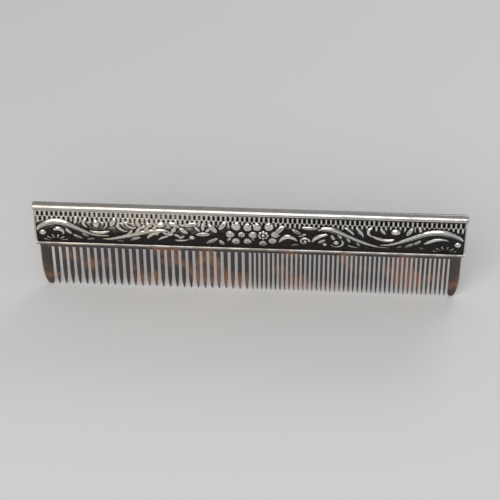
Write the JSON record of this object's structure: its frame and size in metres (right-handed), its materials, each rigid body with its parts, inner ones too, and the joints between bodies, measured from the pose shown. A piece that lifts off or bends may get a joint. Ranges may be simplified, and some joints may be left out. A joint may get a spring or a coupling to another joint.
{
  "type": "mounted dressing comb",
  "caption": "Dressing comb whose embossed metal mount, with a round crest rail, grips a moulded plate of coarse and fine teeth.",
  "frame": {"origin": "middle of the mouth of the mount, in the plane of the rim wires' undersides, where the tooth plate comes out", "axes": "+X along the comb from the coarse teeth to the fine teeth, -Y out of the front panel, +Z from the teeth up to the crest rail"},
  "size_m": [0.176, 0.008, 0.046],
  "materials": {
    "embossed_sheet": "silver sheet, embossed, polished on the high points and darkened in the recesses",
    "plain_silver": "polished silver with light wear",
    "resin": "dull filler, hidden inside the mount",
    "shell": "polished imitation tortoiseshell"
  },
  "bodies": {
    "root": {"front_panel": "embossed_sheet", "back_panel": "embossed_sheet", "crest_rail": "plain_silver", "front_rim_wire": "plain_silver", "back_rim_wire": "plain_silver", "left_end_cap": "plain_silver", "right_end_cap": "plain_silver", "resin_bed": "resin", "fixing_pins": "plain_silver", "plate_tang": "shell", "guard_teeth": "shell", "coarse_teeth": "shell", "fine_teeth": "shell"}
  },
  "joints": []
}
